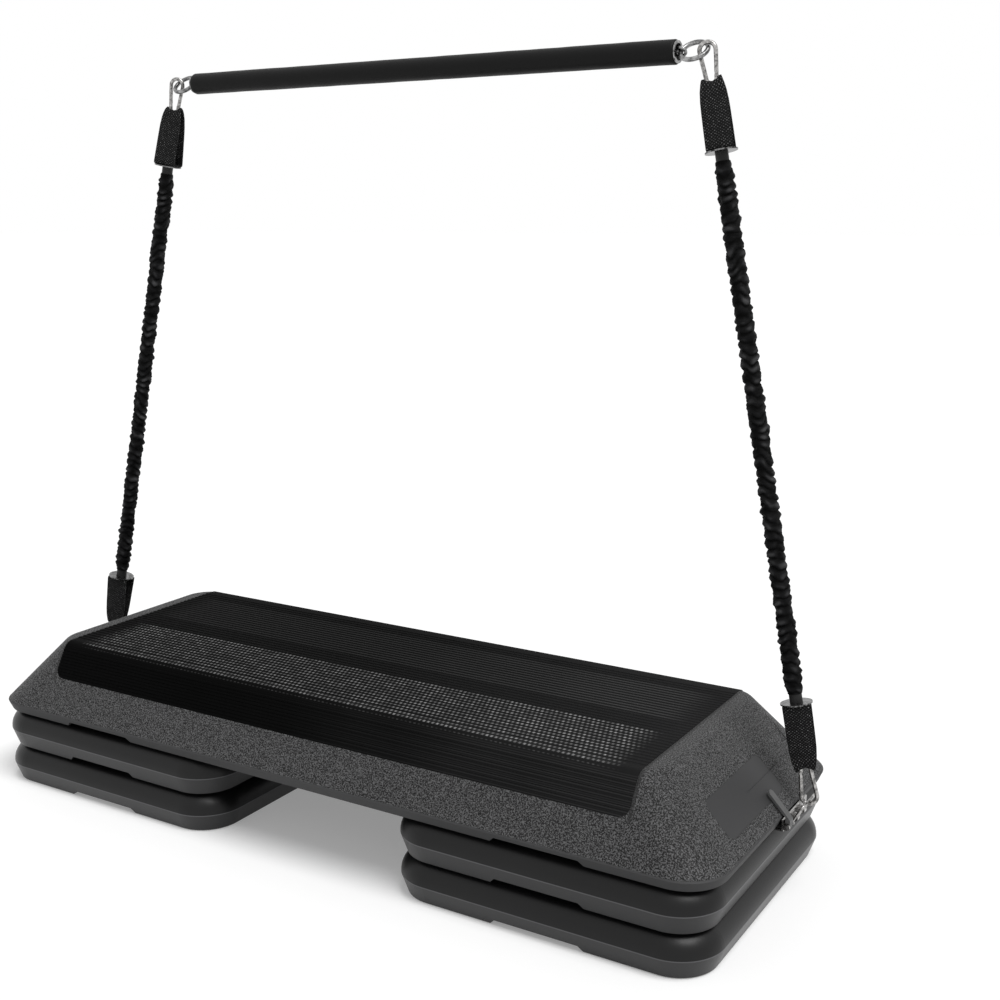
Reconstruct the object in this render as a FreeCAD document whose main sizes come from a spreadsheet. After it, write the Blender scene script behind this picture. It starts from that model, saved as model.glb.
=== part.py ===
# Stepper: a step platform on two pairs of nested risers, with an elastic-band bar.
# Frame: origin on the floor under the middle of the platform, +X along the
# platform, -Y towards the user's front long side, +Z up. Millimetres.
import math
import os
import re

import FreeCAD
import Part
import Sketcher
from FreeCAD import Placement, Rotation, Vector

os.makedirs("parts", exist_ok=True)
doc = FreeCAD.newDocument("Stepper")
sheet = doc.addObject("Spreadsheet::Sheet", "Dimensions")

DIMENSIONS = {
    # Platform and risers
    "deck_length": 1092,
    "deck_width": 400,
    "layer": 50.8,
    "deck_height": 101.6,
    "deck_skirt": 12.4,
    "deck_rim_inset": 5,
    "deck_rim_gap": 1,
    "deck_corner": 55,
    "deck_top_length": 924,
    "deck_top_width": 302,
    "deck_top_corner": 40,
    "deck_shoulder": 16,
    "riser_length": 406,
    "riser_width": 404,
    "riser_corner": 56,
    "riser_bevel": 24,
    "riser_bevel_inset": 8,
    "riser_dome": 26,
    "riser_rim_gap": 1.5,
    "stack_centre": 338,
    "wall": 4.5,
    "rib": 3,
    "riser_cell": 86,
    "deck_cell": 98,
    "notch_length": 118,
    "notch_height": 6,
    # Rubber feet and the sockets that take them
    "foot_spacing": 300,
    "foot_radius": 14,
    "foot_height": 4,
    "spigot_radius": 5,
    "spigot_length": 8,
    "boss_radius": 18,
    "socket_radius": 16,
    "socket_depth": 1.5,
    "seat_gap": 0.3,
    # Mat
    "mat_length": 878,
    "mat_thickness": 2.4,
    "mat_inlay": 1.6,
    "mat_edge_height": 159,
    "mat_rib_pitch": 8,
    "mat_side_rib_pitch": 4,
    "mat_rib_height": 0.7,
    "mat_corner": 14,
    # Smooth plate recess on the right end
    "plate_length": 160,
    "plate_width": 50,
    "plate_depth": 1,
    "plate_corner": 10,
    "plate_centre_y": -30,
    "plate_centre_up": 46,
    # Bar
    "bar_height": 961,
    "bar_setback": 78,
    "bar_half": 362,
    "bar_tube_radius": 11,
    "bar_tube_bore": 9.5,
    "grip_radius": 14,
    "grip_edge": 1.5,
    "ferrule_radius": 12.4,
    "ferrule_length": 1.6,
    "plug_length": 10,
    "plug_depth": 10,
    "star_length": 5.5,
    "star_blade": 2.6,
    "eye_radius": 5.3,
    "eye_wire": 1.8,
    "eye_out": 4.6,
    "eye_shank": 2.5,
    "nut_radius": 4.8,
    "nut_length": 3,
    "ring_radius": 15.75,
    "ring_wire": 2.75,
    "ring_tilt": 41,
    # Snap hooks
    "hook_length": 47,
    "hook_wire": 2.5,
    "hook_arch": 9,
    "hook_narrow": 5.5,
    "gate_radius": 2.4,
    "gate_hinge_up": 5,
    "gate_end_gap": 0.6,
    "nose_length": 5,
    "tang": 2,
    "tang_round": 2.3,
    "tang_side_gap": 0.3,
    "rivet_radius": 0.9,
    "rivet_head": 1.5,
    "rivet_clearance": 0.05,
    # Bands
    "band_turn": 15,
    "link_drop": 8.5,
    "bail_link": 4.6,
    "anchor_x": 565,
    "anchor_y": 46,
    "anchor_z": 119,
    "webbing_end": 119,
    "webbing_ply": 2.2,
    "webbing_width": 31,
    "webbing_top_width": 23,
    "webbing_depth": 13,
    "washer_radius": 18.5,
    "washer_bore": 7.6,
    "washer_thickness": 1.6,
    "stopper_length": 14,
    "stopper_radius": 10.4,
    "stopper_top": 8.8,
    "stopper_clearance": 0.1,
    "tube_radius": 7.5,
    "tube_bore": 4,
    "sleeve_gap": 11,
    "sleeve_bore": 7.8,
    "sleeve_valley": 8.9,
    "sleeve_crest": 10.3,
    "sleeve_gathers": 54,
    # Clamps
    "clamp_front": 2,
    "clamp_width": 80,
    "clamp_sheet": 2,
    "clamp_leg_top": 112.5,
    "clamp_gap": 1.2,
    "clamp_pad_height": 2.2,
    "clamp_lip": 8.6,
    "knuckle_radius": 3.6,
    "barrel_radius": 3.2,
    "knuckle_height": 104,
    "bail_wire": 1.6,
    "bail_half": 24,
    "bail_corner": 5,
    "bail_clearance": 0.05,
    "pin_radius": 1.8,
    "pin_length": 17.5,
    "tab_width": 10.4,
    "tab_length": 32,
    "tab_thickness": 3,
    "tab_clearance": 2.8,
}
for row, (alias, value) in enumerate(DIMENSIONS.items(), start=1):
    sheet.set(f"A{row}", alias)
    sheet.set(f"B{row}", str(value))
    sheet.setAlias(f"B{row}", alias)
doc.recompute()

X_AXIS = Vector(1, 0, 0)
Y_AXIS = Vector(0, 1, 0)
Z_AXIS = Vector(0, 0, 1)
nodes = []


def bound(text):
    """An expression with the sheet's name put before each alias in it."""
    def spell(word):
        return "Dimensions." + word.group() if word.group() in DIMENSIONS else word.group()
    return re.sub(r"[a-z_]+", spell, str(text))


def size(text):
    """The value of such an expression."""
    return float(sheet.evalExpression(bound(text)))


def bind(piece, **sizes):
    """Tie properties of a piece to the sheet."""
    for name, text in sizes.items():
        piece.setExpression(name, bound(text))
    return piece


def put(piece, x=0, y=0, z=0, turn=None):
    """Turn a piece and tie its place to the sheet."""
    if turn:
        piece.Placement = Placement(Vector(), turn)
    for axis, text in zip("xyz", (x, y, z)):
        piece.setExpression("Placement.Base." + axis, bound(text))
    return piece


def box(name, length, width, height, x, y, z):
    piece = bind(doc.addObject("Part::Box", name), Length=length, Width=width, Height=height)
    return put(piece, x, y, z)


def rod(name, radius, length, x, y, z, turn=None):
    piece = bind(doc.addObject("Part::Cylinder", name), Radius=radius, Height=length)
    return put(piece, x, y, z, turn)


def join(name, pieces):
    piece = doc.addObject("Part::MultiFuse", name)
    piece.Shapes = pieces
    return piece


def cut(name, base, tool):
    piece = doc.addObject("Part::Cut", name)
    piece.Base = base
    piece.Tool = tool
    return piece


def made(name, shape, place=None):
    """A piece whose shape comes from Part's own functions."""
    piece = doc.addObject("Part::Feature", name)
    piece.Shape = shape
    if place:
        piece.Placement = place
    return piece


def prism(name, points, width, y, plane="XZ"):
    """A closed outline, given as pairs in a plane, carried along the third axis."""
    outline = doc.addObject("Part::Polygon", name + "_outline")
    if plane == "XZ":
        outline.Nodes = [Vector(a, y, b) for a, b in points]
    else:
        outline.Nodes = [Vector(y, a, b) for a, b in points]
    outline.Close = True
    piece = doc.addObject("Part::Extrusion", name)
    piece.Base = outline
    piece.Dir = Y_AXIS if plane == "XZ" else X_AXIS
    piece.DirMode = "Custom"
    piece.Solid = True
    return bind(piece, LengthFwd=width)


def node(label, piece):
    """Keep a piece as a sub-part under its own name."""
    piece.Label = label
    nodes.append(piece)
    return piece


def rounded_sketch(body, name, half_length, half_width, corner, height):
    """A rectangle with round corners about the body's origin, tied to the sheet."""
    sketch = body.newObject("Sketcher::SketchObject", name)
    plane = [item for item in body.Origin.OriginFeatures if item.Role == "XY_Plane"][0]
    sketch.AttachmentSupport = [(plane, "")]
    sketch.MapMode = "FlatFace"
    sketch.setExpression("AttachmentOffset.Base.z", bound(height))
    a, b, r = size(half_length), size(half_width), size(corner)
    corners = [(a - r, -b + r, -90), (a - r, b - r, 0), (-a + r, b - r, 90), (-a + r, -b + r, 180)]
    sides = [((-a + r, -b), (a - r, -b)), ((a, -b + r), (a, b - r)),
             ((a - r, b), (-a + r, b)), ((-a, b - r), (-a, -b + r))]
    for start, end in sides:
        sketch.addGeometry(Part.LineSegment(Vector(*start, 0), Vector(*end, 0)), False)
    for x, y, start in corners:
        circle = Part.Circle(Vector(x, y, 0), Z_AXIS, r)
        arc = Part.ArcOfCircle(circle, math.radians(start), math.radians(start + 90))
        sketch.addGeometry(arc, False)
    add = sketch.addConstraint
    for side in range(4):
        add(Sketcher.Constraint("Tangent", side, 2, 4 + side, 1))
        add(Sketcher.Constraint("Tangent", 4 + side, 2, (side + 1) % 4, 1))
    for side in range(3):
        add(Sketcher.Constraint("Equal", 4 + side, 5 + side))
    add(Sketcher.Constraint("Horizontal", 0))
    named = [("right", Sketcher.Constraint("DistanceX", -1, 1, 1, 1, a), half_length),
             ("left", Sketcher.Constraint("DistanceX", 3, 1, -1, 1, a), half_length),
             ("front", Sketcher.Constraint("DistanceY", 0, 1, -1, 1, b), half_width),
             ("back", Sketcher.Constraint("DistanceY", -1, 1, 2, 1, b), half_width),
             ("corner", Sketcher.Constraint("Radius", 4, r), corner)]
    for label, constraint, text in named:
        index = add(constraint)
        sketch.renameConstraint(index, label)
        sketch.setExpression("Constraints." + label, bound(text))
    return sketch


def loft(body, name, lower, upper):
    piece = body.newObject("PartDesign::AdditiveLoft", name)
    piece.Profile = lower
    piece.Sections = [upper]
    piece.Ruled = True
    return piece


def round_top(body, name, base, height, radius):
    """Fillet the loop of edges at a height."""
    doc.recompute()
    level = size(height)
    edges = [f"Edge{i}" for i, edge in enumerate(base.Shape.Edges, start=1)
             if all(abs(point.Point.z - level) < 0.01 for point in edge.Vertexes)]
    piece = body.newObject("PartDesign::Fillet", name)
    piece.Base = (base, edges)
    return bind(piece, Radius=radius)


# Rubber feet: a disc with a spigot that is pushed into a boss of the moulding above it.
# The feet of an upper piece stand in round sockets of the piece below.
def foot_places(centres):
    return [(cx + sx * size("foot_spacing") / 2, sy * size("foot_spacing") / 2)
            for cx in centres for sx in (-1, 1) for sy in (-1, 1)]


def feet(label, centres, base, reach):
    """One group of feet under the mouldings at the given centres."""
    pads = []
    for i, (x, y) in enumerate(foot_places(centres)):
        disc = rod(f"{label}_disc{i}", "foot_radius", f"foot_height + {reach}", x, y, f"{base} - ({reach})")
        spigot = rod(f"{label}_spigot{i}", "spigot_radius", "spigot_length + 1", x, y,
                     f"{base} + foot_height - 1")
        pads.append(join(f"{label}_foot{i}", [disc, spigot]))
    group = doc.addObject("Part::Compound", label)
    group.Links = pads
    return node(label, group)


def bosses(name, centres, base, top):
    """Bosses inside a hollow moulding, from just over the feet up to its top."""
    return [rod(f"{name}_boss{i}", "boss_radius", f"{top} - foot_height", x, y, f"{base} + foot_height")
            for i, (x, y) in enumerate(foot_places(centres))]


def foot_holes(name, centres, base):
    return [rod(f"{name}_hole{i}", "spigot_radius", "spigot_length", x, y, f"{base} + foot_height")
            for i, (x, y) in enumerate(foot_places(centres))]


def rib_grid(name, half_length, half_width, cell, low, high, x):
    """Upright ribs both ways, evenly spaced about the centre of a moulding."""
    ribs = []
    count = int(size(half_length) // size(cell))
    for i in range(-count, count + 1):
        ribs.append(box(f"{name}_rib_y{i + count}", "rib", f"2 * ({half_width})", f"{high} - ({low})",
                        f"{x} + {i} * {cell} - rib / 2", f"-({half_width})", low))
    count = int(size(half_width) // size(cell))
    for i in range(-count, count + 1):
        ribs.append(box(f"{name}_rib_x{i + count}", f"2 * ({half_length})", "rib", f"{high} - ({low})",
                        f"{x} - ({half_length})", f"{i} * {cell} - rib / 2", low))
    return ribs


def notches(name, x, rim, half_width):
    """Hand notches with sloped ends, through the rim of both long sides."""
    half, rise, drop = size("notch_length / 2"), size("notch_height"), 3
    centre, level = size(x), size(rim)
    outline = [(centre - half - drop, level - drop), (centre - half + rise, level + rise),
               (centre + half - rise, level + rise), (centre + half + drop, level - drop)]
    depth = 16
    return [prism(f"{name}_notch_front", outline, depth, -size(half_width) - 2),
            prism(f"{name}_notch_back", outline, depth, size(half_width) - depth + 2)]


# Risers: hollow blow-moulded blocks with a bevelled foot, a bright parting line at the
# widest place and a domed top that ends in a flat with four sockets.
def riser(label, side, level):
    base = f"{level} * layer"
    x = f"{side} * stack_centre"
    body = doc.addObject("PartDesign::Body", label + "_block")
    half_l, half_w = "riser_length / 2", "riser_width / 2"
    rim = rounded_sketch(body, label + "_rim", half_l + " - riser_bevel_inset",
                         half_w + " - riser_bevel_inset", "riser_corner - riser_bevel_inset",
                         "riser_rim_gap")
    widest = rounded_sketch(body, label + "_widest", half_l, half_w, "riser_corner", "riser_bevel")
    loft(body, label + "_bevel", rim, widest)
    crown = rounded_sketch(body, label + "_crown", half_l, half_w, "riser_corner", "riser_bevel")
    pad = bind(body.newObject("PartDesign::Pad", label + "_wall"), Length="layer - riser_bevel")
    pad.Profile = crown
    body.Tip = round_top(body, label + "_dome", pad, "layer", "riser_dome")
    put(body, x, 0, base)
    hollow = doc.addObject("PartDesign::Body", label + "_hollow")
    low = rounded_sketch(hollow, label + "_hollow_low", half_l + " - riser_bevel_inset - wall",
                         half_w + " - riser_bevel_inset - wall", "riser_corner - riser_bevel_inset - wall",
                         "0")
    high = rounded_sketch(hollow, label + "_hollow_high", half_l + " - riser_dome * 0.5 - wall",
                          half_w + " - riser_dome * 0.5 - wall", "riser_corner - riser_dome * 0.5 - wall",
                          "layer - wall")
    loft(hollow, label + "_hollow_loft", low, high)
    put(hollow, x, 0, base)
    centre = size(x)
    ribs = rib_grid(label, half_l, half_w, "riser_cell", f"{base} + foot_height + 2",
                    f"{base} + layer", x)
    ribs += bosses(label, [centre], base, "layer")
    void = cut(label + "_void", hollow, join(label + "_ribs", ribs))
    sockets = [rod(f"{label}_socket{i}", "socket_radius", "socket_depth + 1", fx, fy,
                   f"{base} + layer - socket_depth") for i, (fx, fy) in enumerate(foot_places([centre]))]
    taken = [void] + sockets + foot_holes(label, [centre], base)
    taken += notches(label, x, f"{base} + riser_rim_gap", half_w)
    return node(label, cut(label, body, join(label + "_taken", taken)))


for side, name in ((-1, "left"), (1, "right")):
    for level, layer_name in enumerate(("lower", "upper")):
        riser(f"{layer_name}_{name}_riser", side, level)
stacks = [-size("stack_centre"), size("stack_centre")]
feet("lower_riser_feet", stacks, "0", "0")
feet("upper_left_feet", stacks[:1], "layer", "socket_depth - seat_gap")
feet("upper_right_feet", stacks[1:], "layer", "socket_depth - seat_gap")

# Deck: a long hollow moulding. A narrow skirt stands over the risers, four sloped
# sides rise from it to a flat top with round shoulders, and ribs stiffen it inside.
deck_base = "2 * layer"
deck_top = "2 * layer + deck_height"
deck_body = doc.addObject("PartDesign::Body", "deck_block")
deck_rim = rounded_sketch(deck_body, "deck_rim", "deck_length / 2 - deck_rim_inset",
                          "deck_width / 2 - deck_rim_inset", "deck_corner - deck_rim_inset",
                          "deck_rim_gap")
deck_widest = rounded_sketch(deck_body, "deck_widest", "deck_length / 2", "deck_width / 2",
                             "deck_corner", "deck_skirt")
loft(deck_body, "deck_skirt_loft", deck_rim, deck_widest)
deck_foot = rounded_sketch(deck_body, "deck_foot", "deck_length / 2", "deck_width / 2",
                           "deck_corner", "deck_skirt")
deck_crown = rounded_sketch(deck_body, "deck_crown", "deck_top_length / 2", "deck_top_width / 2",
                            "deck_top_corner", "deck_height")
deck_slopes = loft(deck_body, "deck_slopes", deck_foot, deck_crown)
deck_body.Tip = round_top(deck_body, "deck_shoulders", deck_slopes, "deck_height", "deck_shoulder")
put(deck_body, 0, 0, deck_base)

deck_hollow = doc.addObject("PartDesign::Body", "deck_hollow")
hollow_low = rounded_sketch(deck_hollow, "deck_hollow_low", "deck_length / 2 - deck_rim_inset - wall",
                            "deck_width / 2 - deck_rim_inset - wall",
                            "deck_corner - deck_rim_inset - wall", "0")
hollow_mid = rounded_sketch(deck_hollow, "deck_hollow_mid", "deck_length / 2 - wall - 2",
                            "deck_width / 2 - wall - 1", "deck_corner - wall", "deck_skirt")
loft(deck_hollow, "deck_hollow_skirt", hollow_low, hollow_mid)
hollow_foot = rounded_sketch(deck_hollow, "deck_hollow_foot", "deck_length / 2 - wall - 2",
                             "deck_width / 2 - wall - 1", "deck_corner - wall", "deck_skirt")
hollow_high = rounded_sketch(deck_hollow, "deck_hollow_high", "deck_top_length / 2 - wall - 3",
                             "deck_top_width / 2 - wall - 3", "deck_top_corner - wall",
                             "deck_height - wall - mat_inlay - 1")
loft(deck_hollow, "deck_hollow_slopes", hollow_foot, hollow_high)
put(deck_hollow, 0, 0, deck_base)
deck_ribs = rib_grid("deck", "deck_length / 2", "deck_width / 2", "deck_cell",
                     f"{deck_base} + deck_skirt + 4", deck_top, "0")
deck_ribs += bosses("deck", stacks, deck_base, "deck_height")
deck_void = cut("deck_void", deck_hollow, join("deck_ribs", deck_ribs))


def slope_line(inset):
    """Two points, (y, z), of the long side's slope moved inwards by an inset."""
    low = Vector(size("deck_width / 2"), size(deck_base + " + deck_skirt"), 0)
    high = Vector(size("deck_top_width / 2"), size(deck_top), 0)
    along = (high - low).normalize()
    inward = Vector(-along.y, along.x, 0)
    return low + inward * inset, along


def mat_side(inset, edge_height):
    """The mat's line at an inset from the deck's skin: lower edge, bend and top."""
    foot, along = slope_line(inset)
    top = size(deck_top) - inset
    edge = foot + along * ((edge_height - foot.y) / along.y)
    turn = foot + along * ((top - foot.y) / along.y)
    return edge, turn, along


def mat_outline(inset, edge_height, radius):
    """Half the mat's section line, from the middle of the top to the lower edge."""
    edge, turn, along = mat_side(inset, edge_height)
    reach = radius * math.tan(math.acos(-along.x) / 2)
    before = turn + Vector(-reach, 0, 0)
    after = turn - along * reach
    centre = before + Vector(0, -radius, 0)
    middle = centre + (((before - centre) + (after - centre)).normalize() * radius)
    return edge, after, middle, before


# Top mat: a rubber sheet laid in a shallow recess of the deck and wrapped over both
# long shoulders. Ribs run along it on the top and, finer, on both side flaps.
def mat_solid(outset, inset, half_length, ribbed):
    """The sheet between two lines of the section, carried along the deck."""
    shoulder = size("deck_shoulder")
    low = size("mat_edge_height")
    outer = mat_outline(-outset, low, shoulder + outset)
    inner = mat_outline(inset, low - 0.6, shoulder - inset)
    ribs = size("mat_rib_height")
    line = []
    edge, after, middle, before = [Vector(0, p.x, p.y) for p in outer]
    flap = (after - edge).normalize()
    outward = Vector(0, flap.z, -flap.y)
    if ribbed:
        steps = int((after - edge).Length // size("mat_side_rib_pitch"))
        pitch = (after - edge).Length / steps
        for i in range(steps):
            for share, lift in ((0.1, 0), (0.3, ribs), (0.7, ribs), (0.9, 0)):
                line.append(edge + flap * ((i + share) * pitch) + outward * (lift - ribs))
        line = [edge - outward * ribs] + line + [after - outward * ribs]
        middle = middle - (middle - Vector(0, before.y, before.z - shoulder)).normalize() * ribs
        before = before - Z_AXIS * ribs
    else:
        line = [edge, after]
    start, end = line[0], line[-1]
    top_line = []
    if ribbed:
        flat = before.y - 2
        count = int((flat - 4) // size("mat_rib_pitch"))
        pitch = size("mat_rib_pitch")
        for i in range(count, -1, -1):
            for share, lift in ((0.36, 0), (0.2, ribs), (-0.2, ribs), (-0.36, 0)):
                if i == 0 and share < 0:
                    continue
                top_line.append(Vector(0, (i + share) * pitch, before.z + lift))
    half = Part.makePolygon(line).Edges + [Part.Arc(end, middle, before).toShape()]
    crest = [before] + top_line
    if ribbed:
        crest.append(Vector(0, 0, crest[-1].z))
    else:
        crest.append(Vector(0, 0, before.z))
    half += Part.makePolygon(crest).Edges
    e, a, m, b = [Vector(0, p.x, p.y) for p in inner]
    under = [Part.makeLine(start, e), Part.makeLine(e, a), Part.Arc(a, m, b).toShape(),
             Part.makeLine(b, Vector(0, 0, b.z))]
    closing = [Part.makeLine(Vector(0, 0, b.z), crest[-1])]
    wire = Part.Wire(Part.__sortEdges__(half + under + closing))
    solid = Part.Face(wire).extrude(Vector(2 * half_length, 0, 0))
    solid.translate(Vector(-half_length, 0, 0))
    other = solid.mirror(Vector(), Y_AXIS)
    return solid.fuse(other).removeSplitter()


def round_flaps(shape):
    """Round the four lower corners of the flaps."""
    low, end = size("mat_edge_height"), size("mat_length / 2")
    radius = size("mat_corner")
    edge, along = slope_line(0)
    rise = Vector(0, along.x, along.y)
    edge = edge + along * ((low - edge.y) / along.y)
    pieces = []
    for side in (-1, 1):
        for face in (-1, 1):
            corner = Vector(side * end, face * edge.x, edge.y)
            up = Vector(0, face * rise.y, rise.z)
            out = Vector(0, face * up.z, -up.y * face).normalize()
            into = Vector(-side, 0, 0)
            block = Part.makePolygon([corner - into * 5 - up * 5, corner + into * radius - up * 5,
                                      corner + into * radius, corner + into * radius + up * radius,
                                      corner + up * radius - into * 5, corner - into * 5 - up * 5])
            block = Part.Face(block).extrude(out * 20)
            block.translate(out * -10)
            round_bar = Part.makeCylinder(radius, 24, corner + into * radius + up * radius - out * 12, out)
            pieces.append(block.cut(round_bar))
    return shape.cut(pieces)


mat_half = size("mat_length / 2")
mat_bed = made("mat_bed", round_flaps(mat_solid(3, size("mat_inlay"), mat_half, False)))
mat_shape = round_flaps(mat_solid(size("mat_thickness - mat_inlay"), size("mat_inlay"), mat_half, True))
node("top_mat", made("top_mat", mat_shape))

# Plate recess: a smooth shallow seat on the right end's slope, left bare.
end_low = Vector(size("deck_length / 2"), 0, size(deck_base + " + deck_skirt"))
end_high = Vector(size("deck_top_length / 2"), 0, size(deck_top))
end_up = (end_high - end_low).normalize()
end_out = Vector(end_up.z, 0, -end_up.x)
plate = Part.makeBox(size("plate_length"), size("plate_width"), 8)
upright = [edge for edge in plate.Edges if abs(edge.tangentAt(edge.FirstParameter).z) > 0.9]
plate = plate.makeFillet(size("plate_corner"), upright)
plate.translate(Vector(-size("plate_length") / 2, -size("plate_width") / 2, 0))
plate_centre = end_low + end_up * size("plate_centre_up") - end_out * size("plate_depth")
plate_centre.y = size("plate_centre_y")
plate_turn = Rotation(Y_AXIS, end_up, end_out)
plate_cut = made("plate_cut", plate, Placement(plate_centre, plate_turn))

deck_taken = [deck_void, mat_bed, plate_cut] + foot_holes("deck", stacks, deck_base)
for name, x in zip(("left", "right"), stacks):
    deck_taken += notches("deck_" + name, x, f"{deck_base} + deck_rim_gap", "deck_width / 2")
node("deck_shell", cut("deck_shell", deck_body, join("deck_taken", deck_taken)))
feet("deck_feet", stacks, deck_base, "socket_depth - seat_gap")

# Bar: a steel tube in a foam grip. At each end a chromed ferrule rims the tube, and a
# star-faced plug inside it holds an eye bolt with a nut behind.
ALONG_X = Rotation(Y_AXIS, 90)
bar = {"y": "bar_setback", "z": "bar_height"}
tube_solid = rod("bar_tube_solid", "bar_tube_radius", "2 * bar_half", "-bar_half", turn=ALONG_X, **bar)
tube_hole = rod("bar_tube_hole", "bar_tube_bore", "2 * bar_half + 2", "-bar_half - 1", turn=ALONG_X, **bar)
node("bar_tube", cut("bar_tube", tube_solid, tube_hole))
grip_solid = rod("bar_grip_solid", "grip_radius", "2 * bar_half - 1", "-bar_half + 0.5", turn=ALONG_X, **bar)
grip_hole = rod("bar_grip_hole", "bar_tube_radius", "2 * bar_half + 2", "-bar_half - 1", turn=ALONG_X, **bar)
doc.recompute()
grip_round = doc.addObject("Part::Fillet", "bar_grip_round")
grip_round.Base = grip_solid
grip_round.Edges = [(i, size("grip_edge"), size("grip_edge"))
                    for i, edge in enumerate(grip_solid.Shape.Edges, start=1) if edge.isClosed()]
node("bar_grip", cut("bar_grip", grip_round, grip_hole))


def both_ends(label, pieces):
    group = doc.addObject("Part::Compound", label)
    group.Links = pieces
    return node(label, group)


ring_tilt = math.radians(size("ring_tilt"))
ring_across = Vector(0, math.cos(ring_tilt), math.sin(ring_tilt))
ring_normal = X_AXIS.cross(ring_across)
axis_point = Vector(0, size("bar_setback"), size("bar_height"))
ferrules, plugs, bolts, nuts = [], [], [], []
for side, name in ((-1, "left"), (1, "right")):
    start = "bar_half" if side > 0 else "-bar_half - ferrule_length"
    rim = rod(f"{name}_ferrule_rim", "ferrule_radius", "ferrule_length", start, turn=ALONG_X, **bar)
    gap = rod(f"{name}_ferrule_gap", "bar_tube_bore", "ferrule_length", start, turn=ALONG_X, **bar)
    ferrules.append(cut(f"{name}_ferrule", rim, gap))

    back = "bar_half - plug_depth - plug_length" if side > 0 else "-bar_half + plug_depth"
    disc = rod(f"{name}_plug_disc", "bar_tube_bore", "plug_length", back, turn=ALONG_X, **bar)
    star = [disc]
    face = "bar_half - plug_depth - 1" if side > 0 else "-bar_half + plug_depth - star_length"
    for i in range(3):
        blade = doc.addObject("Part::Box", f"{name}_star{i}")
        bind(blade, Length="star_length + 1", Width="star_blade", Height="2 * bar_tube_bore - 0.6")
        spin = Rotation(X_AXIS, 60 * i)
        corner = spin.multVec(Vector(0, -size("star_blade") / 2, -size("bar_tube_bore") + 0.3))
        put(blade, face, f"bar_setback + {corner.y}", f"bar_height + {corner.z}", spin)
        star.append(blade)
    hole = rod(f"{name}_plug_hole", "eye_shank", "plug_length + 2 * star_length", f"{back} - star_length",
               turn=ALONG_X, **bar)
    plugs.append(cut(f"{name}_plug", join(f"{name}_plug_star", star), hole))

    eye_centre = axis_point + X_AXIS * (side * size("bar_half + eye_out"))
    eye = bind(doc.addObject("Part::Torus", f"{name}_eye"), Radius1="eye_radius", Radius2="eye_wire")
    eye.Placement = Placement(eye_centre, Rotation(Z_AXIS, ring_across))
    reach = "plug_depth + plug_length + nut_length + 2 + eye_out - eye_radius"
    shank_start = (f"bar_half + eye_out - eye_radius - ({reach})" if side > 0
                   else "-bar_half - eye_out + eye_radius")
    shank = rod(f"{name}_shank", "eye_shank", reach, shank_start, turn=ALONG_X, **bar)
    bolts.append(join(f"{name}_eye_bolt", [eye, shank]))

    nut_start = ("bar_half - plug_depth - plug_length - nut_length" if side > 0
                 else "-bar_half + plug_depth + plug_length")
    nut = bind(doc.addObject("Part::Prism", f"{name}_nut_hex"), Circumradius="nut_radius", Height="nut_length")
    nut.Polygon = 6
    put(nut, nut_start, turn=ALONG_X, **bar)
    thread = rod(f"{name}_nut_hole", "eye_shank", "nut_length", nut_start, turn=ALONG_X, **bar)
    nuts.append(cut(f"{name}_nut", nut, thread))

    ring = bind(doc.addObject("Part::Torus", f"{name}_ring"), Radius1="ring_radius", Radius2="ring_wire")
    ring.Placement = Placement(eye_centre + X_AXIS * (side * size("ring_radius")),
                               Rotation(Z_AXIS, ring_normal))
    node(f"{name}_ring", ring)
both_ends("bar_ferrules", ferrules)
both_ends("bar_plugs", plugs)
both_ends("eye_bolts", bolts)
both_ends("eye_nuts", nuts)


# Snap hooks: a pear-shaped loop of round wire. One leg is a gate that turns on a rivet
# in a flattened tang near the narrow end, and its tip closes against the nose.
def hook_points():
    """Leg ends in the hook's own plane: x across, z up, arch top at the origin."""
    arch, narrow, length = size("hook_arch"), size("hook_narrow"), size("hook_length")
    between = length - arch - narrow
    lean = math.asin((arch - narrow) / between)
    out = Vector(math.cos(lean), 0, -math.sin(lean))
    arch_centre = Vector(0, 0, -arch)
    narrow_centre = Vector(0, 0, -length + narrow)
    return arch_centre, narrow_centre, arch_centre + out * arch, narrow_centre + out * narrow


def flipped(point):
    return Vector(-point.x, point.y, point.z)


def round_wire(edges, radius):
    """Round wire along a path of tangent edges."""
    path = Part.Wire(edges)
    first = edges[0]
    circle = Part.Circle(first.valueAt(first.FirstParameter), first.tangentAt(first.FirstParameter), radius)
    return path.makePipeShell([Part.Wire(circle.toShape())], True, False)


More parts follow.
